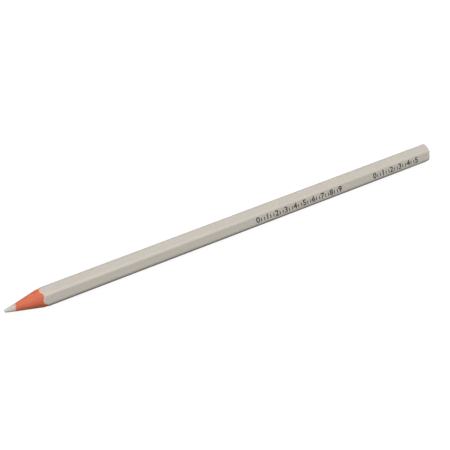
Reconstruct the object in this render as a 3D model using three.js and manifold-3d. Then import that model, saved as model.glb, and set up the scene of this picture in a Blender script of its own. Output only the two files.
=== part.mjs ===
// A sharpened, wood-cased hexagonal chalk pencil, lying on one flat.
// Millimetres, +Z up. The tip points to -X, and the origin is on the resting flat, midway along.
//
// It is built as the real one is: a chalk rod is glued between two grooved slats, the sandwich is
// milled to a hexagon, coated, sealed at its sawn end, and then sharpened through every layer.

import * as THREE from "three";
import { mergeVertices } from "three/addons/utils/BufferGeometryUtils.js";
import Module from "manifold-3d";

const wasm = await Module();
wasm.setup();

// Barrel
const overallLength = 175;
const acrossFlats = 7;
const ridgeRadius = 1.5;
const lacquerThickness = 0.1;
const primerThickness = 0.1;

// Core and glue
const coreDiameter = 2.8;
const grooveClearance = 0.06;
const seamThickness = 0.06;

// Sharpened end
const coneHalfAngle = 13.1;
const coatEdgeHalfAngle = 22;
const bareCoreLength = 3.9;
const tipDiameter = 1.2;
const tipRounding = 0.45;

// Sealed far end
const dipThicknessAtRidge = 0.35;
const domeHeight = 0.5;
const rimRounding = 0.2;

// Facets
const ridgeSteps = 4;
const roundFacets = 60;
const arcSteps = 3;
const rimSteps = 3;

// Places along the pencil, and distances from its axis
const axisHeight = acrossFlats / 2;
const tipX = -overallLength / 2;
const farX = overallLength / 2;
const sawnX = farX - domeHeight - dipThicknessAtRidge;
const coreRadius = coreDiameter / 2;
const grooveRadius = coreRadius + grooveClearance;
const milledDepth = lacquerThickness + primerThickness;
const halfFlatAngle = Math.PI / 6;
const ridgeCentre = (acrossFlats / 2 - ridgeRadius) / Math.cos(halfFlatAngle);
const ridgeReach = ridgeCentre + ridgeRadius;
const coneAngle = THREE.MathUtils.degToRad(coneHalfAngle);
const coatEdgeAngle = THREE.MathUtils.degToRad(coatEdgeHalfAngle);
const woodX = tipX + bareCoreLength;
const shoulderX = woodX + (ridgeReach - coreRadius) / Math.tan(coneAngle);
const domeRadius = (ridgeReach ** 2 + domeHeight ** 2) / (2 * domeHeight);
const domeCentreX = farX - domeRadius;

// The rounded hexagon that lies `depth` under the finish, with flats above and below.
// All depths share the centres of their ridges, so one coat's inside is the next one's outside.
function traceHexagon(path, depth) {
  const radius = ridgeRadius - depth;
  for (let ridge = 0; ridge < 6; ridge++) {
    const angle = 2 * ridge * halfFlatAngle;
    const y = ridgeCentre * Math.cos(angle);
    const z = ridgeCentre * Math.sin(angle);
    path.absarc(y, z, radius, angle - halfFlatAngle, angle + halfFlatAngle, false);
  }
  return path;
}

// Turns a three.js geometry into a solid that can be cut and joined.
function solidFrom(geometry) {
  geometry.deleteAttribute("normal");
  geometry.deleteAttribute("uv");
  const merged = mergeVertices(geometry, 1e-5);
  const triVerts = new Uint32Array(merged.index.array);
  return new wasm.Manifold(
    new wasm.Mesh({
      numProp: 3,
      vertProperties: merged.attributes.position.array,
      triVerts,
    }),
  );
}

// Extrudes an outline drawn in the YZ plane from one X to another.
function extrudeAlongX(outline, fromX, toX) {
  const geometry = new THREE.ExtrudeGeometry(outline, {
    depth: toX - fromX,
    bevelEnabled: false,
    curveSegments: ridgeSteps,
  });
  const alongX = new THREE.Matrix4().makeBasis(
    new THREE.Vector3(0, 1, 0),
    new THREE.Vector3(0, 0, 1),
    new THREE.Vector3(1, 0, 0),
  );
  geometry.applyMatrix4(alongX);
  geometry.translate(fromX, 0, 0);
  return solidFrom(geometry);
}

// Revolves a profile of (radius, X) points about the pencil's axis.
function revolveAboutX(profile) {
  const geometry = new THREE.LatheGeometry(profile, roundFacets);
  geometry.rotateZ(-Math.PI / 2);
  return solidFrom(geometry);
}

function hexagonBar(depth, fromX, toX) {
  return extrudeAlongX(traceHexagon(new THREE.Shape(), depth), fromX, toX);
}

function roundBar(radius, fromX, toX) {
  const profile = [
    new THREE.Vector2(0, fromX),
    new THREE.Vector2(radius, fromX),
    new THREE.Vector2(radius, toX),
    new THREE.Vector2(0, toX),
  ];
  return revolveAboutX(profile);
}

// What the sharpener leaves: a blunt, rounded chalk tip, the core's own taper, and the wood cone,
// opening out past the ridges. The two tapers meet where the wood starts.
function sharpenedEnvelope() {
  const tipRadius = tipDiameter / 2;
  const coreAngle = Math.atan2(coreRadius - tipRadius, bareCoreLength);
  const rounding = Math.min(tipRounding, tipRadius);
  const roundingCentre = tipRadius - rounding * Math.tan((Math.PI / 2 - coreAngle) / 2);
  const coneEndRadius = ridgeReach + acrossFlats;
  const coneEndX = shoulderX + acrossFlats / Math.tan(coneAngle);

  const profile = new THREE.Path();
  profile.moveTo(0, tipX);
  profile.lineTo(roundingCentre, tipX);
  profile.absarc(roundingCentre, tipX + rounding, rounding, -Math.PI / 2, -coreAngle, false);
  profile.lineTo(coreRadius, woodX);
  profile.lineTo(coneEndRadius, coneEndX);
  profile.lineTo(coneEndRadius, farX + acrossFlats);
  profile.lineTo(0, farX + acrossFlats);
  return revolveAboutX(profile.getPoints(arcSteps));
}

// What the sharpener leaves of the coats. The brittle paint breaks away behind the blade, so its edge
// is steeper than the wood's cone. The two meet on the ridges, at the shoulder.
function brokenCoatEnvelope() {
  const edgeEndRadius = ridgeReach + acrossFlats;
  const profile = [
    new THREE.Vector2(0, shoulderX - ridgeReach / Math.tan(coatEdgeAngle)),
    new THREE.Vector2(edgeEndRadius, shoulderX + acrossFlats / Math.tan(coatEdgeAngle)),
    new THREE.Vector2(edgeEndRadius, farX + acrossFlats),
    new THREE.Vector2(0, farX + acrossFlats),
  ];
  return revolveAboutX(profile);
}

// The surface of the sealing drop: a shallow dome whose height is measured out to the ridges.
function domeEnvelope() {
  const rimAngle = Math.asin(ridgeReach / domeRadius);
  const profile = new THREE.Path();
  profile.moveTo(0, sawnX - acrossFlats);
  profile.lineTo(ridgeReach, sawnX - acrossFlats);
  profile.absarc(0, domeCentreX, domeRadius, Math.PI / 2 - rimAngle, Math.PI / 2, false);
  return revolveAboutX(profile.getPoints(arcSteps * 2));
}

const sharpened = sharpenedEnvelope();
const brokenCoat = brokenCoatEnvelope();
const coreBar = roundBar(coreRadius, tipX, sawnX);
const grooveBar = roundBar(grooveRadius, tipX, sawnX);
const milledBar = hexagonBar(milledDepth, tipX, sawnX);

function chalkCore() {
  return coreBar.intersect(sharpened);
}

// A flat block as wide and long as the whole pencil, between two heights from the axis.
function slab(fromZ, toZ) {
  const size = new THREE.Vector3(2 * overallLength, 2 * acrossFlats, toZ - fromZ);
  const geometry = new THREE.BoxGeometry(size.x, size.y, size.z);
  geometry.translate(0, 0, (fromZ + toZ) / 2);
  return solidFrom(geometry);
}

// One half of the case: milled flats outside, a half-round groove inside.
function slat(side) {
  const seamZ = (side * seamThickness) / 2;
  const outerZ = side * acrossFlats;
  const half = slab(Math.min(seamZ, outerZ), Math.max(seamZ, outerZ));
  return milledBar.intersect(half).subtract(grooveBar).intersect(sharpened);
}

// The glue between the slats, and round the core in its grooves.
function glueFilm() {
  const seam = milledBar.intersect(slab(-seamThickness / 2, seamThickness / 2));
  return seam.add(grooveBar).subtract(coreBar).intersect(sharpened);
}

// A coat of even thickness on the hexagon that lies `depth` under the finish.
function coat(depth, thickness) {
  const outline = traceHexagon(new THREE.Shape(), depth);
  outline.holes.push(traceHexagon(new THREE.Path(), depth + thickness));
  return extrudeAlongX(outline, tipX, sawnX).intersect(brokenCoat);
}

// The sealing drop. Its rim rolls over in ever deeper hexagons, and ends on the dome at the ridges.
// The drop is convex, so the skin stretched over these slices and the dome is its surface.
function endDip() {
  const dome = hexagonBar(rimRounding, sawnX, farX).intersect(domeEnvelope());
  const rolledInX = domeCentreX + Math.sqrt(domeRadius ** 2 - (ridgeReach - rimRounding) ** 2);
  const rimX = rolledInX - rimRounding;
  const slices = [dome, hexagonBar(0, sawnX, rimX)];
  for (let step = 1; step < rimSteps; step++) {
    const turn = (step * Math.PI) / (2 * rimSteps);
    const depth = rimRounding * (1 - Math.cos(turn));
    slices.push(hexagonBar(depth, sawnX, rimX + rimRounding * Math.sin(turn)));
  }
  return wasm.Manifold.hull(slices);
}

// Makes a named mesh of a solid, with its own finish.
function meshOf(name, solid, finish) {
  const { vertProperties, triVerts } = solid.getMesh();
  const geometry = new THREE.BufferGeometry();
  geometry.setAttribute("position", new THREE.BufferAttribute(vertProperties, 3));
  geometry.setIndex(new THREE.BufferAttribute(triVerts, 1));
  geometry.computeVertexNormals();
  const mesh = new THREE.Mesh(geometry, new THREE.MeshStandardMaterial(finish));
  mesh.name = name;
  return mesh;
}

const chalk = { color: 0xcfcbc5, roughness: 0.95, metalness: 0 };
const stainedWood = { color: 0xd8745a, roughness: 0.75, metalness: 0 };
const driedGlue = { color: 0xe6d9bd, roughness: 0.6, metalness: 0 };
const creamPrimer = { color: 0xe3bf9f, roughness: 0.7, metalness: 0 };
const greyLacquer = { color: 0xbdb6ac, roughness: 0.35, metalness: 0 };

const pencil = new THREE.Group();
pencil.position.z = axisHeight;
pencil.add(
  meshOf("chalk_core", chalkCore(), chalk),
  meshOf("upper_slat", slat(1), stainedWood),
  meshOf("lower_slat", slat(-1), stainedWood),
  meshOf("glue_film", glueFilm(), driedGlue),
  meshOf("primer_coat", coat(lacquerThickness, primerThickness), creamPrimer),
  meshOf("lacquer_coat", coat(0, lacquerThickness), greyLacquer),
  meshOf("end_dip", endDip(), greyLacquer),
);

export default pencil;
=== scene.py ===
from math import atan2, cos, degrees, exp, pi, radians, sin, sqrt, tan

import bpy
from mathutils import Matrix, Vector, noise


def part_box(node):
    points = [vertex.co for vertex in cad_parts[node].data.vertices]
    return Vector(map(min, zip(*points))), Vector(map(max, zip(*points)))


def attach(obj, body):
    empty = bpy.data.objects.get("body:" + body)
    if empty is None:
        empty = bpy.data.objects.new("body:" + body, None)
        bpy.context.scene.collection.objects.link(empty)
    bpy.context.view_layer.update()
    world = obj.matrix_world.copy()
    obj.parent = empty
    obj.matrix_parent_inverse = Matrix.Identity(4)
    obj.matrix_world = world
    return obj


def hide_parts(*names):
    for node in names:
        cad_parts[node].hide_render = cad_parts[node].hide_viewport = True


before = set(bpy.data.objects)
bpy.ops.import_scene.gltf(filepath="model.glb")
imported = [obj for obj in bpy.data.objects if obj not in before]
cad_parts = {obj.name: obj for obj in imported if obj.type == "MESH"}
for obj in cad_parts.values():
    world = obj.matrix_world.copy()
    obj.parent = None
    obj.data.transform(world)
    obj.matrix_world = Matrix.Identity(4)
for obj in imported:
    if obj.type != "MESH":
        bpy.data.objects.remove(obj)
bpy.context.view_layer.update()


# Camera. It looks down on the pencil from the tip's side, as the photograph does.
# The tip points to the lower left and the sealed end to the upper right.
CAMERA_PLACE = Vector((-0.076251, -0.146997, 0.208582))
CAMERA_ELEVATION = radians(51.091)
CAMERA_TURN = radians(26.225)
CAMERA_ROLL = radians(0.313)
SENSOR_WIDTH = 36.0
LENS_IN_FRAME_WIDTHS = 701.9 / 450

look = Vector((
    sin(CAMERA_TURN) * cos(CAMERA_ELEVATION),
    cos(CAMERA_TURN) * cos(CAMERA_ELEVATION),
    -sin(CAMERA_ELEVATION),
))
level_right = Vector((cos(CAMERA_TURN), -sin(CAMERA_TURN), 0))
level_up = level_right.cross(look)
right = cos(CAMERA_ROLL) * level_right + sin(CAMERA_ROLL) * level_up
up = cos(CAMERA_ROLL) * level_up - sin(CAMERA_ROLL) * level_right

camera_data = bpy.data.cameras.new("camera")
camera_data.sensor_width = SENSOR_WIDTH
camera_data.lens = SENSOR_WIDTH * LENS_IN_FRAME_WIDTHS
camera_data.clip_start = 0.005
camera = bpy.data.objects.new("camera", camera_data)
camera_turn = Matrix((right, up, -look)).transposed().to_4x4()
camera.matrix_world = Matrix.Translation(CAMERA_PLACE) @ camera_turn
bpy.context.scene.collection.objects.link(camera)
bpy.context.scene.camera = camera
bpy.context.scene.view_settings.view_transform = "Standard"


# Floor, sky and lamps. The floor is plain, and looks white to the camera and in reflections.
# It takes the pencil's soft shadow, and beside the pencil the reflections show it shaded too.
# The lamps are wide and stand above and in front.
FLOOR_SIZE = 4.0
FLOOR_COLOR = 0.10
FLOOR_GLOW = 0.93
SHADE_FADES_ACROSS = (0.004, 0.030)
SHADE_FADES_ALONG = (0.071, 0.083)
GLOW_PAST_THE_ENDS = 0.6
SKY_LIGHT = 0.38
LAMPS = {
    "overhead_lamp": {"place": (-0.05, -0.10, 1.0), "width": 0.8, "watts": 7.0},
    "front_lamp": {"place": (-0.05, -0.75, 1.0), "width": 0.8, "watts": 4.4},
}


def arithmetic(tree, operation, first, second):
    """One sum of two values, each a socket or a number."""
    node = tree.nodes.new("ShaderNodeMath")
    node.operation = operation
    for socket, value in zip(node.inputs, (first, second)):
        if isinstance(value, (int, float)):
            socket.default_value = value
        else:
            tree.links.new(value, socket)
    return node.outputs[0]


def between(tree, value, low, high, to_low=0.0, to_high=1.0):
    """Spreads a value's range from low to high over another range, and holds it there."""
    spread = tree.nodes.new("ShaderNodeMapRange")
    spread.inputs["From Min"].default_value = low
    spread.inputs["From Max"].default_value = high
    spread.inputs["To Min"].default_value = to_low
    spread.inputs["To Max"].default_value = to_high
    tree.links.new(value, spread.inputs["Value"])
    return spread.outputs["Result"]


def seen_directly(tree, in_reflections):
    """One to the camera and through clear materials, a share in reflections, otherwise zero."""
    paths = tree.nodes.new("ShaderNodeLightPath")
    reflected = arithmetic(tree, "MULTIPLY", paths.outputs["Is Glossy Ray"], in_reflections)
    seen = arithmetic(tree, "MAXIMUM", paths.outputs["Is Camera Ray"], reflected)
    return arithmetic(tree, "MAXIMUM", seen, paths.outputs["Is Transmission Ray"])


def own_place(tree):
    """The object's own coordinates, as three values."""
    place = tree.nodes.new("ShaderNodeTexCoord")
    split = tree.nodes.new("ShaderNodeSeparateXYZ")
    tree.links.new(place.outputs["Object"], split.inputs["Vector"])
    return split.outputs


def shaded_beside_pencil(tree):
    """How much of the floor's glow reflections show: none beside the barrel, all further off."""
    place = own_place(tree)
    across = arithmetic(tree, "ABSOLUTE", place["Y"], 0)
    beside = between(tree, across, *SHADE_FADES_ACROSS)
    along = arithmetic(tree, "ABSOLUTE", place["X"], 0)
    past_the_ends = between(tree, along, *SHADE_FADES_ALONG, 0.0, GLOW_PAST_THE_ENDS)
    return arithmetic(tree, "MAXIMUM", beside, past_the_ends)


floor_material = bpy.data.materials.new("floor")
floor_material.use_nodes = True
floor_tree = floor_material.node_tree
floor_shader = floor_tree.nodes["Principled BSDF"]
floor_shader.inputs["Base Color"].default_value = (FLOOR_COLOR, FLOOR_COLOR, FLOOR_COLOR, 1)
floor_shader.inputs["Roughness"].default_value = 1.0
floor_shader.inputs["Specular IOR Level"].default_value = 0.0
floor_shader.inputs["Emission Color"].default_value = (1, 1, 1, 1)
glow_share = seen_directly(floor_tree, shaded_beside_pencil(floor_tree))
glow = arithmetic(floor_tree, "MULTIPLY", glow_share, FLOOR_GLOW)
floor_tree.links.new(glow, floor_shader.inputs["Emission Strength"])

floor_mesh = bpy.data.meshes.new("floor")
floor_half = FLOOR_SIZE / 2
floor_corners = [(-floor_half, -floor_half, 0), (floor_half, -floor_half, 0)]
floor_corners += [(floor_half, floor_half, 0), (-floor_half, floor_half, 0)]
floor_mesh.from_pydata(floor_corners, [], [(0, 1, 2, 3)])
floor_mesh.materials.append(floor_material)
floor = bpy.data.objects.new("floor", floor_mesh)
bpy.context.scene.collection.objects.link(floor)

sky = bpy.data.worlds.new("sky")
sky.use_nodes = True
bpy.context.scene.world = sky
sky_tree = sky.node_tree
sky_strength = between(sky_tree, seen_directly(sky_tree, 1.0), 0, 1, SKY_LIGHT, 1.0)
sky_tree.nodes["Background"].inputs["Color"].default_value = (1, 1, 1, 1)
sky_tree.links.new(sky_strength, sky_tree.nodes["Background"].inputs["Strength"])

for lamp_name, lamp_sizes in LAMPS.items():
    lamp_data = bpy.data.lights.new(lamp_name, "AREA")
    lamp_data.size = lamp_sizes["width"]
    lamp_data.energy = lamp_sizes["watts"]
    lamp = bpy.data.objects.new(lamp_name, lamp_data)
    lamp.location = lamp_sizes["place"]
    lamp.rotation_euler = (-lamp.location).to_track_quat("-Z", "Y").to_euler()
    bpy.context.scene.collection.objects.link(lamp)


# Chalk core. A rod of pressed chalk and binder, glued into the case along its whole length.
# Its bare end is turned by the sharpener, then worn blunt by writing, a little more on one side.
CORE_LOW, CORE_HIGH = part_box("chalk_core")
CORE_RADIUS = (CORE_HIGH.y - CORE_LOW.y) / 2
TIP_X = CORE_LOW.x
AXIS_Z = (CORE_LOW.z + CORE_HIGH.z) / 2
BARE_LENGTH = 0.0039
WOOD_X = TIP_X + BARE_LENGTH
SAWN_SHORT_BY = 0.0004
SAWN_X = CORE_HIGH.x - SAWN_SHORT_BY
TIP_RADIUS = 0.0005
TIP_ROUNDING = 0.0002
CONE_SLOPE = tan(radians(13.1))
BLADE_SHIFT = 0.0001
BLADE_SIDE = radians(36)
CORE_SHIFT = 0.0002
CORE_SIDE = radians(40)
WEAR_NORMAL = Vector((-0.95, -0.29, 0.06)).normalized()
WEAR_DEPTH = 0.00017
CORE_STEPS_ROUND = 120
FREE_AT_THE_WOOD = 8e-6
FREE_IN_THE_GROOVE = 4e-6
FULL_IN_THE_GROOVE = 0.0015
FINE_GRAIN = 6e-6
COARSE_GRAIN = 8e-6
SMOOTH_UP_TO = radians(32)
CHALK_COLOR = (0.60, 0.58, 0.545, 1)
CHALK_SHADE_COLOR = (0.48, 0.46, 0.425, 1)
CHALK_WARM_TINT_COLOR = (0.585, 0.475, 0.395, 1)
CHALK_WARM_TINT_FADES = (WOOD_X - 0.0026, WOOD_X - 0.0006)


def around(x, radius, angle):
    """The point at a distance and an angle from the pencil's axis, counted from +Y towards +Z."""
    return Vector((x, radius * cos(angle), AXIS_Z + radius * sin(angle)))


def wobble(x, angle, length, turns, seed):
    """A smooth random value from about -1 to 1 that closes on itself round the axis."""
    place = Vector((x / length, turns * cos(angle), turns * sin(angle) + 17.3 * seed))
    return noise.noise(place)


def blade_reach(angle):
    """How much further out the cone lies on this side, as the blade ran a little off the middle."""
    return BLADE_SHIFT * cos(angle - BLADE_SIDE)


def cut_x(radius, angle):
    """Where along the pencil the sharpened cone reaches this radius."""
    return WOOD_X + (radius - CORE_RADIUS - blade_reach(angle)) / CONE_SLOPE


def sideways(distance, angle):
    """A step away from the pencil's axis."""
    return Vector((0, distance * cos(angle), distance * sin(angle)))


def add_piece(name, mesh, material, replaced):
    """Makes an object of a mesh, finished and riding on the pencil."""
    mesh.materials.append(material)
    mesh.shade_smooth()
    mesh.set_sharp_from_angle(angle=SMOOTH_UP_TO)
    piece = bpy.data.objects.new(name, mesh)
    bpy.context.scene.collection.objects.link(piece)
    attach(piece, "root")
    if replaced:
        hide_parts(*replaced)
    return piece


def mesh_of_rings(name, rings, closed_loop):
    """Quads between rings of equal count. The last joins the first, or both ends are capped."""
    count = len(rings[0])
    points = [point for ring in rings for point in ring]
    faces = []
    pairs = len(rings) if closed_loop else len(rings) - 1
    for ring in range(pairs):
        here = ring * count
        there = (ring + 1) % len(rings) * count
        for step in range(count):
            after = (step + 1) % count
            faces.append((here + step, here + after, there + after, there + step))
    if not closed_loop:
        faces.append(tuple(reversed(range(count))))
        faces.append(tuple(range(len(points) - count, len(points))))
    mesh = bpy.data.meshes.new(name)
    mesh.from_pydata(points, [], faces)
    mesh.validate()
    return mesh


def bare_profile():
    """Pairs of a share of the bare length and a radius, from the blunt tip out to the wood."""
    taper = atan2(CORE_RADIUS - TIP_RADIUS, WOOD_X - TIP_X)
    centre = TIP_RADIUS - TIP_ROUNDING * tan((pi / 2 - taper) / 2)
    profile = [(0, centre * share) for share in (0.15, 0.4, 0.7, 1.0)]
    arc_steps = 8
    for step in range(1, arc_steps + 1):
        angle = -pi / 2 + (pi / 2 - taper) * step / arc_steps
        forward = TIP_ROUNDING * (1 + sin(angle))
        profile.append((forward / (WOOD_X - TIP_X), centre + TIP_ROUNDING * cos(angle)))
    arc_share, arc_radius = profile[-1]
    taper_steps = 48
    for step in range(1, taper_steps + 1):
        share = arc_share + (1 - arc_share) * step / taper_steps
        profile.append((share, arc_radius + (CORE_RADIUS - arc_radius) * step / taper_steps))
    return profile


def worn(point):
    """Moves a point behind the slanting facet that writing has worn on the tip."""
    beyond = (point - around(TIP_X, 0, 0)).dot(WEAR_NORMAL) + WEAR_DEPTH
    return point - beyond * WEAR_NORMAL if beyond > 0 else point


core_angles = [2 * pi * step / CORE_STEPS_ROUND for step in range(CORE_STEPS_ROUND)]
core_rings = []
core_middle = sideways(CORE_SHIFT, CORE_SIDE)
for share, radius in bare_profile():
    ring = []
    for angle in core_angles:
        edge = core_middle + sideways(CORE_RADIUS, angle)
        wood_edge_x = cut_x(edge.length, atan2(edge.z, edge.y))
        x = TIP_X + share * (wood_edge_x - TIP_X)
        grain = FINE_GRAIN * wobble(x, angle, 0.00022, 3.0, 3)
        grain += COARSE_GRAIN * wobble(x, angle, 0.0007, 1.2, 4)
        grain *= min(1, radius / TIP_RADIUS)
        turned = radius - FREE_AT_THE_WOOD * share + grain
        ring.append(worn(around(x, turned, angle) + core_middle))
    core_rings.append(ring)
for x in (WOOD_X + FULL_IN_THE_GROOVE, SAWN_X):
    glued = CORE_RADIUS - FREE_IN_THE_GROOVE
    core_rings.append([around(x, glued, angle) + core_middle for angle in core_angles])


def new_material(name, roughness):
    """A material with its tree and its shader."""
    material = bpy.data.materials.new(name)
    material.use_nodes = True
    shader = material.node_tree.nodes["Principled BSDF"]
    shader.inputs["Roughness"].default_value = roughness
    return material, material.node_tree, shader


def stretched_noise(tree, stretch, scale, detail=3.0, roughness=0.55):
    """Noise on the piece's own coordinates, drawn out along the pencil, from 0 to 1."""
    place = tree.nodes.new("ShaderNodeTexCoord")
    mapping = tree.nodes.new("ShaderNodeMapping")
    mapping.inputs["Scale"].default_value = stretch
    pattern = tree.nodes.new("ShaderNodeTexNoise")
    pattern.inputs["Scale"].default_value = scale
    pattern.inputs["Detail"].default_value = detail
    pattern.inputs["Roughness"].default_value = roughness
    tree.links.new(place.outputs["Object"], mapping.inputs["Vector"])
    tree.links.new(mapping.outputs["Vector"], pattern.inputs["Vector"])
    return pattern.outputs["Fac"]


def blend_colors(tree, share, first, second):
    """Mixes two colours, each a socket or four numbers, by a share from 0 to 1."""
    node = tree.nodes.new("ShaderNodeMix")
    node.data_type = "RGBA"
    tree.links.new(share, node.inputs["Factor"])
    for name, value in (("A", first), ("B", second)):
        socket = [item for item in node.inputs if item.name == name and item.type == "RGBA"][0]
        if isinstance(value, tuple):
            socket.default_value = value
        else:
            tree.links.new(value, socket)
    return [item for item in node.outputs if item.type == "RGBA"][0]


def bump(tree, shader, height, distance):
    """Raises the shader's surface by a height value, over a real distance."""
    node = tree.nodes.new("ShaderNodeBump")
    node.inputs["Distance"].default_value = distance
    tree.links.new(height, node.inputs["Height"])
    tree.links.new(node.outputs["Normal"], shader.inputs["Normal"])


def sharpener_marks_group():
    """The height of fine rings across the pencil, as the blade leaves them, broken up by noise."""
    group = bpy.data.node_groups.new("sharpener_marks", "ShaderNodeTree")
    group.interface.new_socket("Rings per metre", in_out="INPUT", socket_type="NodeSocketFloat")
    group.interface.new_socket("Strength", in_out="INPUT", socket_type="NodeSocketFloat")
    group.interface.new_socket("Height", in_out="OUTPUT", socket_type="NodeSocketFloat")
    source = group.nodes.new("NodeGroupInput")
    sink = group.nodes.new("NodeGroupOutput")
    place = group.nodes.new("ShaderNodeTexCoord")
    mapping = group.nodes.new("ShaderNodeMapping")
    mapping.inputs["Scale"].default_value = (1.0, 0.06, 0.06)
    rings = group.nodes.new("ShaderNodeTexNoise")
    rings.inputs["Detail"].default_value = 4.0
    group.links.new(place.outputs["Object"], mapping.inputs["Vector"])
    group.links.new(mapping.outputs["Vector"], rings.inputs["Vector"])
    group.links.new(source.outputs["Rings per metre"], rings.inputs["Scale"])
    height = arithmetic(group, "MULTIPLY", rings.outputs["Fac"], source.outputs["Strength"])
    group.links.new(height, sink.inputs["Height"])
    return group


SHARPENER_MARKS = sharpener_marks_group()


def sharpener_marks(tree, rings_per_metre, strength):
    """The blade's rings in one material, with its own spacing and strength."""
    node = tree.nodes.new("ShaderNodeGroup")
    node.node_tree = SHARPENER_MARKS
    node.inputs["Rings per metre"].default_value = rings_per_metre
    node.inputs["Strength"].default_value = strength
    return node.outputs["Height"]


chalk, chalk_tree, chalk_shader = new_material("pressed_chalk", 0.92)
chalk_shader.inputs["Specular IOR Level"].default_value = 0.25
pores = between(chalk_tree, stretched_noise(chalk_tree, (1, 1, 1), 5200, 4), 0.36, 0.60)
smudges = between(chalk_tree, stretched_noise(chalk_tree, (1, 1, 1), 700, 3), 0.35, 0.70)
chalk_tone = arithmetic(chalk_tree, "MULTIPLY", pores, arithmetic(chalk_tree, "ADD", smudges, 0.55))
chalk_color = blend_colors(chalk_tree, chalk_tone, CHALK_SHADE_COLOR, CHALK_COLOR)
# The chalk is tinted warm towards the wood, fully over its last 0.6 mm, a little unevenly.
warm_tinted = between(chalk_tree, own_place(chalk_tree)["X"], *CHALK_WARM_TINT_FADES)
warm_tinted = arithmetic(chalk_tree, "MULTIPLY", warm_tinted, between(chalk_tree, smudges, 0, 1, 0.7, 1.0))
chalk_color = blend_colors(chalk_tree, warm_tinted, chalk_color, CHALK_WARM_TINT_COLOR)
chalk_tree.links.new(chalk_color, chalk_shader.inputs["Base Color"])
chalk_height = arithmetic(chalk_tree, "ADD", pores, sharpener_marks(chalk_tree, 6500, 0.5))
bump(chalk_tree, chalk_shader, chalk_height, 1.2e-5)
add_piece("core", mesh_of_rings("core", core_rings, False), chalk, ["chalk_core"])


# Wood case. Two half-hexagon slats of coral-stained softwood, grooved for the core and glued.
# The sharpener cuts them to a cone, which shows the grain, its pores and the blade's faint rings.
HEX_LOW, HEX_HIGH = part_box("lacquer_coat")
CASE_LOW, CASE_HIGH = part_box("upper_slat")
HALF_FLATS = (HEX_HIGH.z - HEX_LOW.z) / 2
RIDGE_REACH = (HEX_HIGH.y - HEX_LOW.y) / 2
SHARP_REACH = HALF_FLATS / cos(pi / 6)
RIDGE_RADIUS = (SHARP_REACH - RIDGE_REACH) / (1 / cos(pi / 6) - 1)
RIDGE_CENTRE = RIDGE_REACH - RIDGE_RADIUS
MILLED_DEPTH = HEX_HIGH.z - CASE_HIGH.z
SEAM_HALF = CASE_LOW.z - AXIS_Z
GROOVE_CLEARANCE = 0.00006
GROOVE_RADIUS = CORE_RADIUS + GROOVE_CLEARANCE
HALF_STEPS_ROUND = 120
BLADE_RINGS = 3.5e-6
BLADE_FLATS = 5e-6
WOOD_FREE = 2e-6
FUZZ = 6e-6
FUZZ_SPOTS = (0.0003, 0.0006, 0.0009, 0.0013)
GRAIN_TURN = (radians(28), radians(1.5), radians(2))
RING_SPACING = 0.0008
FRONT_PAINTED_SHADE_FADES = (-0.0014, -0.0002)
FRONT_PAINTED_SHADE = 0.26
PORE_STRENGTH = 0.6
WOOD_LIGHT_COLOR = (0.70, 0.185, 0.098, 1)
WOOD_DEEP_COLOR = (0.51, 0.105, 0.048, 1)
WOOD_PORE_COLOR = (0.36, 0.085, 0.045, 1)


def barrel_radius(angle, depth):
    """Distance from the axis to the rounded hexagon that lies this deep under the finish."""
    from_ridge = (angle + pi / 6) % (pi / 3) - pi / 6
    ridge_radius = RIDGE_RADIUS - depth
    arc_ends = atan2(ridge_radius * sin(pi / 6), RIDGE_CENTRE + ridge_radius * cos(pi / 6))
    if abs(from_ridge) < arc_ends:
        across = RIDGE_CENTRE * sin(from_ridge)
        return RIDGE_CENTRE * cos(from_ridge) + sqrt(ridge_radius ** 2 - across ** 2)
    return (HALF_FLATS - depth) / cos(pi / 6 - abs(from_ridge))


def core_reach(radius, angle):
    """Distance from the pencil's axis to a round of this radius about the core's own middle."""
    turn = angle - CORE_SIDE
    return CORE_SHIFT * cos(turn) + sqrt(radius ** 2 - (CORE_SHIFT * sin(turn)) ** 2)


def turned_radius(x, angle):
    """The sharpened cone, with the faint rings and flats that the blade leaves on it."""
    ring_marks = BLADE_RINGS * wobble(x, angle, 0.00035, 0.4, 1)
    flats = BLADE_FLATS * wobble(x, angle, 0.004, 3.0, 2)
    return CORE_RADIUS + (x - WOOD_X) * CONE_SLOPE + blade_reach(angle) + ring_marks + flats


def slat_column(angle):
    """A slice of a slat: along the cone and the barrel, down the sawn end, back in the groove."""
    outside = barrel_radius(angle, MILLED_DEPTH) - WOOD_FREE
    inside = core_reach(GROOVE_RADIUS, angle)
    start = cut_x(inside, angle)
    edge = cut_x(outside, angle)
    column = []
    cone_steps = 72
    for step in range(cone_steps + 1):
        x = start + (edge - start) * step / cone_steps
        column.append(around(x, min(turned_radius(x, angle), outside), angle))
    for past_edge in FUZZ_SPOTS:
        fuzz = FUZZ * abs(wobble(past_edge, angle, 0.0004, 9.0, 6))
        column.append(around(edge + past_edge, outside - fuzz, angle))
    for x in (0.0, SAWN_X):
        column.append(around(x, outside, angle))
    for x in (SAWN_X, 0.0, start + FUZZ_SPOTS[0]):
        column.append(around(x, inside, angle))
    return column


def slat_mesh(name, first_angle):
    """A slat from its columns, with its flat joint faces set back by half of the glue."""
    columns = []
    for step in range(HALF_STEPS_ROUND + 1):
        columns.append(slat_column(first_angle + pi * step / HALF_STEPS_ROUND))
    side = 1 if first_angle == 0 else -1
    for column in (columns[0], columns[-1]):
        for point in column:
            point.z = AXIS_Z + side * SEAM_HALF
    return mesh_of_rings(name, columns, False)


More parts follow.
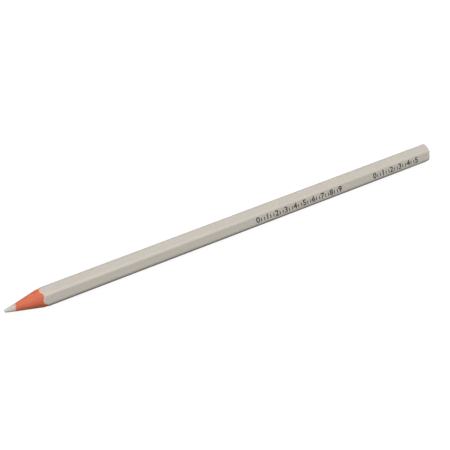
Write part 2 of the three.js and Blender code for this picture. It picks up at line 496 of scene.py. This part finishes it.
wood, wood_tree, wood_shader = new_material("stained_wood", 0.62)
wood_shader.inputs["Specular IOR Level"].default_value = 0.35
wave_place = wood_tree.nodes.new("ShaderNodeTexCoord")
wave_mapping = wood_tree.nodes.new("ShaderNodeMapping")
wave_mapping.inputs["Rotation"].default_value = GRAIN_TURN
year_rings = wood_tree.nodes.new("ShaderNodeTexWave")
year_rings.wave_type = "BANDS"
year_rings.bands_direction = "Z"
year_rings.wave_profile = "SAW"
year_rings.inputs["Scale"].default_value = 2 * pi / (20 * RING_SPACING)
year_rings.inputs["Distortion"].default_value = 2.2
year_rings.inputs["Detail"].default_value = 3.0
year_rings.inputs["Detail Scale"].default_value = 0.6
wood_tree.links.new(wave_place.outputs["Object"], wave_mapping.inputs["Vector"])
wood_tree.links.new(wave_mapping.outputs["Vector"], year_rings.inputs["Vector"])
fibres = stretched_noise(wood_tree, (0.035, 1, 1), 5200, 4, 0.6)
broad_streaks = stretched_noise(wood_tree, (0.05, 1, 1), 1100, 2, 0.5)
vessels = between(wood_tree, stretched_noise(wood_tree, (0.09, 1, 1), 8200, 2, 0.5), 0.66, 0.72)
tone = arithmetic(wood_tree, "MULTIPLY", year_rings.outputs["Fac"], 0.42)
tone = arithmetic(wood_tree, "ADD", tone, between(wood_tree, fibres, 0.3, 0.7, 0.0, 0.34))
tone = arithmetic(wood_tree, "ADD", tone, between(wood_tree, broad_streaks, 0.35, 0.65, 0.0, 0.3))
# Painted shade: the cone is coloured deeper on its front side, from the middle towards the camera,
# standing for the shade there.
wood_across = own_place(wood_tree)["Y"]
front_painted_shade = between(wood_tree, wood_across, *FRONT_PAINTED_SHADE_FADES, FRONT_PAINTED_SHADE, 0.0)
tone = arithmetic(wood_tree, "SUBTRACT", tone, front_painted_shade)
wood_color = blend_colors(wood_tree, tone, WOOD_DEEP_COLOR, WOOD_LIGHT_COLOR)
pore_share = arithmetic(wood_tree, "MULTIPLY", vessels, PORE_STRENGTH)
wood_color = blend_colors(wood_tree, pore_share, wood_color, WOOD_PORE_COLOR)
wood_tree.links.new(wood_color, wood_shader.inputs["Base Color"])
wood_rough = between(wood_tree, fibres, 0.3, 0.7, 0.52, 0.74)
wood_tree.links.new(wood_rough, wood_shader.inputs["Roughness"])
pore_depth = arithmetic(wood_tree, "MULTIPLY", vessels, 0.7)
wood_height = arithmetic(wood_tree, "SUBTRACT", fibres, pore_depth)
wood_height = arithmetic(wood_tree, "ADD", wood_height, sharpener_marks(wood_tree, 5200, 0.7))
bump(wood_tree, wood_shader, wood_height, 1.8e-5)

add_piece("upper_half_case", slat_mesh("upper_half_case", 0), wood, ["upper_slat"])
add_piece("lower_half_case", slat_mesh("lower_half_case", pi), wood, ["lower_slat"])


# Glue. A thin film of wood glue in the joint between the slats and round the core in its groove.
# It shows on the cone as a hairline at each side, and as a fine ring where the chalk starts.
GLUE_STEPS_ROUND = 96
GLUE_UNDER_CORE = 2e-6
GLUE_COLOR = (0.58, 0.30, 0.17, 1)


def on_core(radius, angle):
    """The place of the core's or the groove's edge on the cone."""
    reach = core_reach(radius, angle)
    return around(cut_x(reach, angle), reach, angle)


def glue_sleeve():
    """The tube of glue round the core."""
    angles = [2 * pi * step / GLUE_STEPS_ROUND for step in range(GLUE_STEPS_ROUND)]
    rings = []
    for radius in (GROOVE_RADIUS, CORE_RADIUS - GLUE_UNDER_CORE):
        cut_ring = [on_core(radius, angle) for angle in angles]
        sawn_ring = [around(SAWN_X, core_reach(radius, angle), angle) for angle in angles]
        rings += [sawn_ring, cut_ring] if rings else [cut_ring, sawn_ring]
    return mesh_of_rings("glue_round_core", rings, True)


def glue_wing(angle):
    """The flat film between the slats on one side, cut on the cone as they are."""
    outside = barrel_radius(angle, MILLED_DEPTH)
    inside = core_reach(GROOVE_RADIUS, angle)
    cone_steps = 60
    start, edge = cut_x(inside, angle), cut_x(outside, angle)
    outline = []
    for step in range(cone_steps + 1):
        x = start + (edge - start) * step / cone_steps
        outline.append(around(x, min(turned_radius(x, angle), outside), angle))
    outline.append(around(SAWN_X, outside, angle))
    outline.append(around(SAWN_X, inside, angle))
    half_film = Vector((0, 0, SEAM_HALF))
    faces = [[point - half_film for point in outline], [point + half_film for point in outline]]
    return mesh_of_rings("glue_wing", faces, False)


def joined_mesh(name, meshes):
    """Several meshes as one."""
    points, faces = [], []
    for mesh in meshes:
        first = len(points)
        points += [vertex.co.copy() for vertex in mesh.vertices]
        faces += [[first + index for index in polygon.vertices] for polygon in mesh.polygons]
        bpy.data.meshes.remove(mesh)
    joined = bpy.data.meshes.new(name)
    joined.from_pydata(points, [], faces)
    joined.validate()
    return joined


glue, glue_tree, glue_shader = new_material("dried_glue", 0.4)
glue_patches = stretched_noise(glue_tree, (0.3, 1, 1), 3000, 2)
glue_color = blend_colors(glue_tree, glue_patches, GLUE_COLOR, WOOD_DEEP_COLOR)
glue_tree.links.new(glue_color, glue_shader.inputs["Base Color"])
bump(glue_tree, glue_shader, glue_patches, 1e-5)
glue_mesh = joined_mesh("glue_line", [glue_sleeve(), glue_wing(0), glue_wing(pi)])
add_piece("glue_line", glue_mesh, glue, ["glue_film"])


# Undercoat and lacquer. The wood is primed cream, then dipped in several warm-grey coats.
# The sharpener cuts both back to a scalloped edge, ragged where the brittle paint tears.
COAT_STEPS_ROUND = 288
COAT_EDGE_SLOPE = tan(radians(22))
CHIPPED_BACK = 0.00014
CHIPPED_SIDE = radians(70)
CHIPPED_LEAST = 0.00006
TONGUE_REACH = 0.0002
TONGUE_SIDE = 153
TONGUE_SPREAD = 20
SCALLOP_SKEW = radians(8)
SKEW_SIDE = radians(130)
UNDERCOAT_TORN = 0.00006
LACQUER_TORN = 0.00022
LIP_LENGTH = 0.00012
LIP_DROP = 1.6e-5
LONG_SAG = 5e-6
SHORT_SAG = 2.5e-6
RUBBED_DEGREES = 9
EDGE_SPOTS = [0, 0.00018, 0.0004, 0.0007, 0.0012, 0.002, 0.0035, 0.006, 0.010]
BODY_SPOTS = [0.010 + 0.99 * step / 110 for step in range(1, 111)]
LACQUER_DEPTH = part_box("lacquer_coat")[1].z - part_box("primer_coat")[1].z
PRIMER_COLOR = (0.76, 0.53, 0.38, 1)
PRIMER_STAINED_COLOR = (0.70, 0.42, 0.28, 1)
LACQUER_COLOR = (0.505, 0.475, 0.415, 1)
LACQUER_WARM_COLOR = (0.50, 0.455, 0.405, 1)
DRAG_COLOR = (0.40, 0.37, 0.32, 1)
WORN_COLOR = (0.56, 0.52, 0.46, 1)
SPECK_COLOR = (0.30, 0.27, 0.235, 1)


def broken_x(radius, angle):
    """Where a coat starts at this radius. Its broken edge is steeper than the cone, and behind it.

    It is chipped back unevenly, and least on the face in front, where a tongue of paint held."""
    chipped = CHIPPED_LEAST + CHIPPED_BACK * (1 + cos(angle - CHIPPED_SIDE))
    chipped -= TONGUE_REACH * exp(-((degrees(angle) - TONGUE_SIDE) / TONGUE_SPREAD) ** 2)
    return cut_x(RIDGE_REACH, angle) + chipped + (radius - RIDGE_REACH) / COAT_EDGE_SLOPE


def scallop_radius(angle, depth):
    """The radius that sets the coat's scallops, which broke away a little out of true."""
    return barrel_radius(angle - SCALLOP_SKEW * sin(2 * (angle - SKEW_SIDE)), depth)


def tear(angle, most, seed):
    """How far a coat is chipped back behind its even edge, in metres."""
    fine = abs(wobble(0, angle, 1, 14.0, seed))
    coarse = 0.5 + 0.5 * wobble(0, angle, 1, 4.0, seed + 1)
    return most * (0.45 * coarse + 0.9 * fine * coarse)


def sag(x, angle):
    """The shallow waves of a dipped coat, always inwards."""
    long_waves = wobble(x, angle, 0.016, 1.6, 7)
    short_waves = wobble(x, angle, 0.005, 2.2, 8)
    return LONG_SAG * (1 + long_waves) + SHORT_SAG * (1 + short_waves)


def coat_rings(outer_depth, inner_depth, most_torn, seed, spots):
    """Rings of one coat: from the torn edge along the outside, in at the end, back inside."""
    angles = [2 * pi * step / COAT_STEPS_ROUND for step in range(COAT_STEPS_ROUND)]
    lip = []
    for angle in angles:
        outside = barrel_radius(angle, outer_depth)
        inside = barrel_radius(angle, inner_depth)
        lip.append((outside, inside, tear(angle, most_torn, seed)))
    rings = []
    for share in spots:
        ring = []
        for angle, (outside, inside, torn) in zip(angles, lip):
            start = broken_x(scallop_radius(angle, outer_depth), angle) + torn
            x = start + (SAWN_X - start) * share
            near_edge = max(0, 1 - (x - start) / LIP_LENGTH)
            radius = outside - sag(x, angle) * (outer_depth == 0) - LIP_DROP * near_edge ** 2
            ring.append(around(x, radius, angle))
        rings.append(ring)
    for share in (1.0, 0.5, 0.0):
        ring = []
        for angle, (outside, inside, torn) in zip(angles, lip):
            start = broken_x(scallop_radius(angle, inner_depth), angle) + torn * 0.6
            ring.append(around(start + (SAWN_X - start) * share, inside, angle))
        rings.append(ring)
    return rings


def scatter_group():
    """Small scattered specks of dust and pinholes. Gives a mask from 0 to 1."""
    group = bpy.data.node_groups.new("scattered_specks", "ShaderNodeTree")
    group.interface.new_socket("Specks per metre", in_out="INPUT", socket_type="NodeSocketFloat")
    group.interface.new_socket("Size", in_out="INPUT", socket_type="NodeSocketFloat")
    group.interface.new_socket("Mask", in_out="OUTPUT", socket_type="NodeSocketFloat")
    source = group.nodes.new("NodeGroupInput")
    sink = group.nodes.new("NodeGroupOutput")
    place = group.nodes.new("ShaderNodeTexCoord")
    cells = group.nodes.new("ShaderNodeTexVoronoi")
    group.links.new(place.outputs["Object"], cells.inputs["Vector"])
    group.links.new(source.outputs["Specks per metre"], cells.inputs["Scale"])
    inside = arithmetic(group, "SUBTRACT", source.outputs["Size"], cells.outputs["Distance"])
    sharp = arithmetic(group, "MULTIPLY", inside, 14.0)
    held = arithmetic(group, "MAXIMUM", sharp, 0.0)
    group.links.new(arithmetic(group, "MINIMUM", held, 1.0), sink.inputs["Mask"])
    return group


SCATTERED_SPECKS = scatter_group()


def scattered_specks(tree, per_metre, size):
    """The specks in one material, with their own number and size."""
    node = tree.nodes.new("ShaderNodeGroup")
    node.node_tree = SCATTERED_SPECKS
    node.inputs["Specks per metre"].default_value = per_metre
    node.inputs["Size"].default_value = size
    return node.outputs["Mask"]


primer, primer_tree, primer_shader = new_material("cream_undercoat", 0.7)
primer_patches = stretched_noise(primer_tree, (1, 1, 1), 2600, 4)
primer_mask = between(primer_tree, primer_patches, 0.35, 0.65)
primer_color = blend_colors(primer_tree, primer_mask, PRIMER_COLOR, PRIMER_STAINED_COLOR)
primer_tree.links.new(primer_color, primer_shader.inputs["Base Color"])
bump(primer_tree, primer_shader, primer_patches, 1.2e-5)
primer_spots = EDGE_SPOTS + [0.1, 0.5, 1.0]
primer_rings = coat_rings(LACQUER_DEPTH, MILLED_DEPTH, UNDERCOAT_TORN, 21, primer_spots)
primer_mesh = mesh_of_rings("undercoat", primer_rings, True)
add_piece("undercoat", primer_mesh, primer, ["primer_coat"])


def lacquer_material(name):
    """Satin lacquer with a faint drag along the barrel, blotches, specks and rubbed ridges."""
    material, tree, shader = new_material(name, 0.36)
    shader.inputs["Specular IOR Level"].default_value = 0.27
    blotches = between(tree, stretched_noise(tree, (0.35, 1, 1), 260, 3), 0.35, 0.65)
    drag = stretched_noise(tree, (0.02, 1, 1), 3600, 3, 0.6)
    peel = stretched_noise(tree, (0.6, 1, 1), 1500, 2, 0.5)
    scratches = between(tree, stretched_noise(tree, (0.012, 1, 1), 9000, 2, 0.5), 0.67, 0.70)
    specks = scattered_specks(tree, 520, 0.085)
    dents = scattered_specks(tree, 170, 0.13)
    color = blend_colors(tree, blotches, LACQUER_COLOR, LACQUER_WARM_COLOR)
    color = blend_colors(tree, between(tree, drag, 0.5, 0.75, 0.0, 0.14), color, DRAG_COLOR)
    ridge = tree.nodes.new("ShaderNodeAttribute")
    ridge.attribute_name = "rubbed"
    rubbed = arithmetic(tree, "MULTIPLY", ridge.outputs["Fac"], between(tree, drag, 0.42, 0.62))
    color = blend_colors(tree, arithmetic(tree, "MULTIPLY", rubbed, 0.12), color, WORN_COLOR)
    color = blend_colors(tree, arithmetic(tree, "MULTIPLY", specks, 0.35), color, SPECK_COLOR)
    tree.links.new(color, shader.inputs["Base Color"])
    roughness = between(tree, drag, 0.3, 0.7, 0.36, 0.48)
    roughness = arithmetic(tree, "SUBTRACT", roughness, arithmetic(tree, "MULTIPLY", rubbed, 0.06))
    roughness = arithmetic(tree, "ADD", roughness, arithmetic(tree, "MULTIPLY", scratches, 0.12))
    tree.links.new(roughness, shader.inputs["Roughness"])
    height = arithmetic(tree, "ADD", peel, arithmetic(tree, "MULTIPLY", drag, 0.25))
    height = arithmetic(tree, "ADD", height, arithmetic(tree, "MULTIPLY", specks, 0.8))
    height = arithmetic(tree, "SUBTRACT", height, arithmetic(tree, "MULTIPLY", scratches, 0.3))
    height = arithmetic(tree, "SUBTRACT", height, arithmetic(tree, "MULTIPLY", dents, 1.2))
    bump(tree, shader, height, 1.3e-5)
    return material


def mark_rubbed(mesh):
    """Stores on each point how near it lies to a ridge, where hands and boxes rub the coat."""
    rubbed = mesh.attributes.new("rubbed", "FLOAT", "POINT")
    values = []
    for vertex in mesh.vertices:
        angle = atan2(vertex.co.z - AXIS_Z, vertex.co.y)
        from_ridge = (angle + pi / 6) % (pi / 3) - pi / 6
        values.append(max(0, 1 - abs(degrees(from_ridge)) / RUBBED_DEGREES))
    rubbed.data.foreach_set("value", values)


lacquer = lacquer_material("warm_grey_lacquer")
lacquer_rings = coat_rings(0, LACQUER_DEPTH, LACQUER_TORN, 31, EDGE_SPOTS + BODY_SPOTS)
lacquer_mesh = mesh_of_rings("lacquer", lacquer_rings, True)
mark_rubbed(lacquer_mesh)
add_piece("lacquer", lacquer_mesh, lacquer, ["lacquer_coat"])


# Sealed end. The sawn end is dipped once more in the same lacquer, which closes over the wood and
# the core. The drop dries to a shallow dome with a soft rim.
FAR_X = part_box("end_dip")[1].x
MIDDLE_BACK = 0.00025
RIM_BACK = 0.0005
LEAN = 0.0003
LEAN_SIDE = radians(60)
GATHERED = 0.00022
GATHERED_SIDE = 85
GATHERED_SPREAD = 20
RIM_ROUNDING = 0.00012
DIP_WAVES = 4e-6


def dome_x(radius, angle):
    """The drop's surface. It dried fuller towards the back, and gathered by the top flat."""
    out = radius / barrel_radius(angle, 0)
    lean = LEAN * cos(angle - LEAN_SIDE)
    gathered = GATHERED * exp(-((degrees(angle) - GATHERED_SIDE) / GATHERED_SPREAD) ** 2)
    back = MIDDLE_BACK + (RIM_BACK - MIDDLE_BACK) * out ** 2
    return FAR_X - back + lean * out + gathered * out ** 3


def dip_rings():
    """Rings from the sawn face up the rim and over the dome to its middle."""
    angles = [2 * pi * step / COAT_STEPS_ROUND for step in range(COAT_STEPS_ROUND)]
    rings = []
    rings.append([around(SAWN_X, barrel_radius(a, 0) - sag(SAWN_X, a), a) for a in angles])
    rim_steps = 8
    dome_steps = 26
    for step in range(rim_steps + dome_steps):
        ring = []
        for angle in angles:
            full = barrel_radius(angle, 0) - sag(SAWN_X, angle)
            if step < rim_steps:
                turn = pi / 2 * step / rim_steps
                radius = full - RIM_ROUNDING * (1 - cos(turn))
                below = RIM_ROUNDING * (1 - sin(turn))
            else:
                share = 1 - (step - rim_steps) / dome_steps
                radius = (full - RIM_ROUNDING) * share
                below = 0
            x = dome_x(radius, angle) - below
            if radius > RIDGE_REACH * 0.1:
                x -= DIP_WAVES * (1 + wobble(radius, angle, 0.002, 1.1, 12))
            ring.append(around(x, radius, angle))
        rings.append(ring)
    return rings


dip_mesh = mesh_of_rings("sealed_end", dip_rings(), False)
mark_rubbed(dip_mesh)
add_piece("sealed_end", dip_mesh, lacquer, ["end_dip"])


# Print. Two plain scales in dark ink, one on each side of a gap: bold numbers, with short marks
# between them. They are pad-printed on the face in front, and the ink is a hair thick.
FACE_NORMAL = Vector((0, -sin(radians(60)), cos(radians(60))))
FACE_UP = Vector((0, cos(radians(60)), sin(radians(60))))
INK_THICKNESS = 0.000012
INK_LINE_WIDTH = 0.00038
PRINT_HEIGHT = 0.0022
PRINT_BASE = -0.00108
NUMBER_WEIGHT = 0.00008
NUMBER_HEIGHT_IN_FONT = 0.7
NUMBER_SPACING = 0.004
MARK_HEIGHT = 0.0014
MARKS_BETWEEN = 2
SCALES = ({"start": 0.0085, "numbers": 10}, {"start": 0.0605, "numbers": 6})
INK_COLOR = (0.025, 0.021, 0.019, 1)

ink, ink_tree, ink_shader = new_material("dark_ink", 0.5)
ink_wear = between(ink_tree, stretched_noise(ink_tree, (1, 1, 1), 6000, 3), 0.26, 0.38)
ink_color = blend_colors(ink_tree, ink_wear, LACQUER_COLOR, INK_COLOR)
ink_tree.links.new(ink_color, ink_shader.inputs["Base Color"])
bump(ink_tree, ink_shader, ink_wear, 4e-6)


def scale_marks_tree():
    """Geometry nodes that set a row of upright bars along X, each on the print's base line."""
    tree = bpy.data.node_groups.new("scale_marks", "GeometryNodeTree")
    face = tree.interface
    face.new_socket("Geometry", in_out="INPUT", socket_type="NodeSocketGeometry")
    face.new_socket("Marks", in_out="INPUT", socket_type="NodeSocketInt")
    for name in ("Start", "Spacing", "Height", "Line width", "Thickness"):
        face.new_socket(name, in_out="INPUT", socket_type="NodeSocketFloat")
    face.new_socket("Ink", in_out="INPUT", socket_type="NodeSocketMaterial")
    face.new_socket("Geometry", in_out="OUTPUT", socket_type="NodeSocketGeometry")
    source = tree.nodes.new("NodeGroupInput")
    sink = tree.nodes.new("NodeGroupOutput")
    row = tree.nodes.new("GeometryNodeMeshLine")
    bar = tree.nodes.new("GeometryNodeMeshCube")
    bar_size = tree.nodes.new("ShaderNodeCombineXYZ")
    row_start = tree.nodes.new("ShaderNodeCombineXYZ")
    row_step = tree.nodes.new("ShaderNodeCombineXYZ")
    copies = tree.nodes.new("GeometryNodeInstanceOnPoints")
    real = tree.nodes.new("GeometryNodeRealizeInstances")
    inked = tree.nodes.new("GeometryNodeSetMaterial")
    links = tree.links
    links.new(source.outputs["Marks"], row.inputs["Count"])
    links.new(source.outputs["Line width"], bar_size.inputs["X"])
    links.new(source.outputs["Height"], bar_size.inputs["Y"])
    links.new(source.outputs["Thickness"], bar_size.inputs["Z"])
    links.new(source.outputs["Start"], row_start.inputs["X"])
    half_height = arithmetic(tree, "MULTIPLY", source.outputs["Height"], 0.5)
    links.new(half_height, row_start.inputs["Y"])
    links.new(source.outputs["Spacing"], row_step.inputs["X"])
    links.new(row_start.outputs[0], row.inputs["Start Location"])
    links.new(row_step.outputs[0], row.inputs["Offset"])
    links.new(bar_size.outputs[0], bar.inputs["Size"])
    links.new(row.outputs["Mesh"], copies.inputs["Points"])
    links.new(bar.outputs["Mesh"], copies.inputs["Instance"])
    links.new(copies.outputs["Instances"], real.inputs["Geometry"])
    links.new(real.outputs["Geometry"], inked.inputs["Geometry"])
    links.new(source.outputs["Ink"], inked.inputs["Material"])
    links.new(inked.outputs["Geometry"], sink.inputs["Geometry"])
    return tree


SCALE_MARKS = scale_marks_tree()


def row_of_marks(marks, start, spacing, height):
    """The mesh of one row of marks, flat in XY."""
    holder = bpy.data.objects.new("row_of_marks", bpy.data.meshes.new("row_of_marks"))
    bpy.context.scene.collection.objects.link(holder)
    modifier = holder.modifiers.new("marks", "NODES")
    modifier.node_group = SCALE_MARKS
    values = {
        "Marks": marks,
        "Start": start,
        "Spacing": spacing,
        "Height": height,
        "Line width": INK_LINE_WIDTH,
        "Thickness": INK_THICKNESS,
        "Ink": ink,
    }
    for item in SCALE_MARKS.interface.items_tree:
        if item.in_out == "INPUT" and item.name in values:
            modifier[item.identifier] = values[item.name]
    evaluated = holder.evaluated_get(bpy.context.evaluated_depsgraph_get())
    mesh = bpy.data.meshes.new_from_object(evaluated)
    bpy.data.objects.remove(holder)
    return mesh


def number_mesh(text, x):
    """A plain bold number as a thin film, centred on its place along the scale."""
    curve = bpy.data.curves.new("number", "FONT")
    curve.body = text
    curve.align_x = "CENTER"
    curve.size = PRINT_HEIGHT / NUMBER_HEIGHT_IN_FONT
    curve.offset = NUMBER_WEIGHT
    curve.extrude = INK_THICKNESS / 2
    holder = bpy.data.objects.new("number", curve)
    bpy.context.scene.collection.objects.link(holder)
    evaluated = holder.evaluated_get(bpy.context.evaluated_depsgraph_get())
    mesh = bpy.data.meshes.new_from_object(evaluated)
    bpy.data.objects.remove(holder)
    mesh.transform(Matrix.Translation((x, 0, 0)))
    return mesh


def printed_scale(name, start, numbers):
    """One scale, laid on the face and standing a hair out of the lacquer."""
    meshes = []
    for number in range(numbers):
        place = start + number * NUMBER_SPACING
        meshes.append(number_mesh(str(number), place))
        if number < numbers - 1:
            gap = NUMBER_SPACING / (MARKS_BETWEEN + 1)
            meshes.append(row_of_marks(MARKS_BETWEEN, place + gap, gap, MARK_HEIGHT))
    mesh = joined_mesh(name, meshes)
    face_middle = Vector((0, 0, AXIS_Z)) + FACE_NORMAL * (HALF_FLATS + INK_THICKNESS / 4)
    on_face = Matrix((Vector((1, 0, 0)), FACE_UP, FACE_NORMAL)).transposed().to_4x4()
    mesh.transform(Matrix.Translation(face_middle + FACE_UP * PRINT_BASE) @ on_face)
    return add_piece(name, mesh, ink, [])


for index, scale in enumerate(SCALES):
    printed_scale(f"printed_scale_{index + 1}", scale["start"], scale["numbers"])
